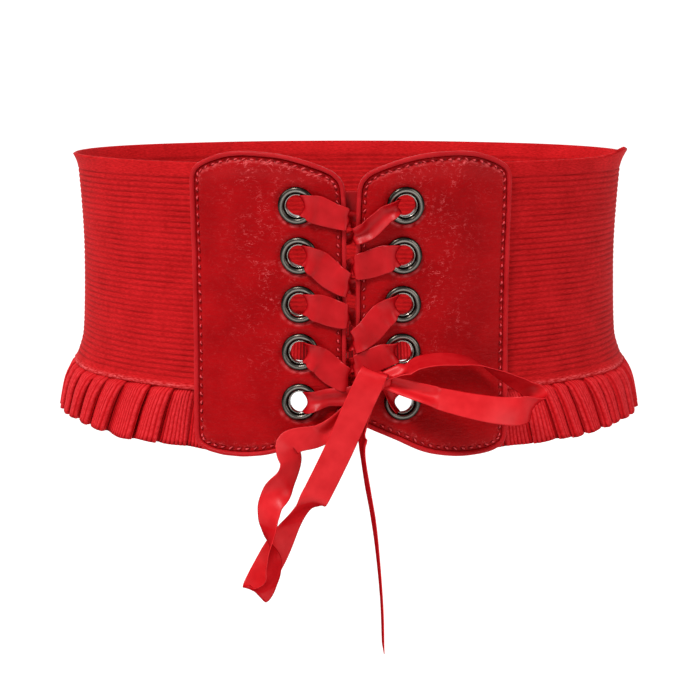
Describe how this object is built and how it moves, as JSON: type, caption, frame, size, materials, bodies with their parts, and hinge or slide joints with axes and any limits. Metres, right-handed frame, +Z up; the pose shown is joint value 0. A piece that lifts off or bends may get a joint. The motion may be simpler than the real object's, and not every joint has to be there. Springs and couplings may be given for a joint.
{
  "type": "wide lace-up waist belt",
  "caption": "Wide corset waist belt: corded elastic band, faux-leather front panels laced with satin ribbon tied in a bow, and a pleated ruffle hem.",
  "frame": {"origin": "middle of the waist loop, at half the height of the elastic band", "axes": "+Z up along the waist, -Y towards the laced front, +X to the right of someone facing the front"},
  "size_m": [0.2903, 0.2138, 0.2207],
  "materials": {
    "elastic": "matte corded elastic, red",
    "ruffle": "matte ribbed elastic, lighter red",
    "leatherette": "semi-gloss crinkled faux leather, deep red",
    "rim": "satin faux-leather edging, worn lighter red",
    "eyelet": "polished gunmetal",
    "satin_ribbon": "satin weave, bright red sheen"
  },
  "bodies": {
    "root": {"elastic_band": "elastic", "ruffle": "ruffle", "panel_left": "leatherette", "panel_right": "leatherette", "rim_left": "rim", "rim_right": "rim", "eyelet_left_1": "eyelet", "eyelet_left_2": "eyelet", "eyelet_left_3": "eyelet", "eyelet_left_4": "eyelet", "eyelet_left_5": "eyelet", "eyelet_right_1": "eyelet", "eyelet_right_2": "eyelet", "eyelet_right_3": "eyelet", "eyelet_right_4": "eyelet", "eyelet_right_5": "eyelet", "lace": "satin_ribbon", "bow_knot": "satin_ribbon", "bow_loop_right": "satin_ribbon", "bow_loop_left": "satin_ribbon", "ribbon_tail_front": "satin_ribbon", "ribbon_tail_back": "satin_ribbon"}
  },
  "joints": []
}
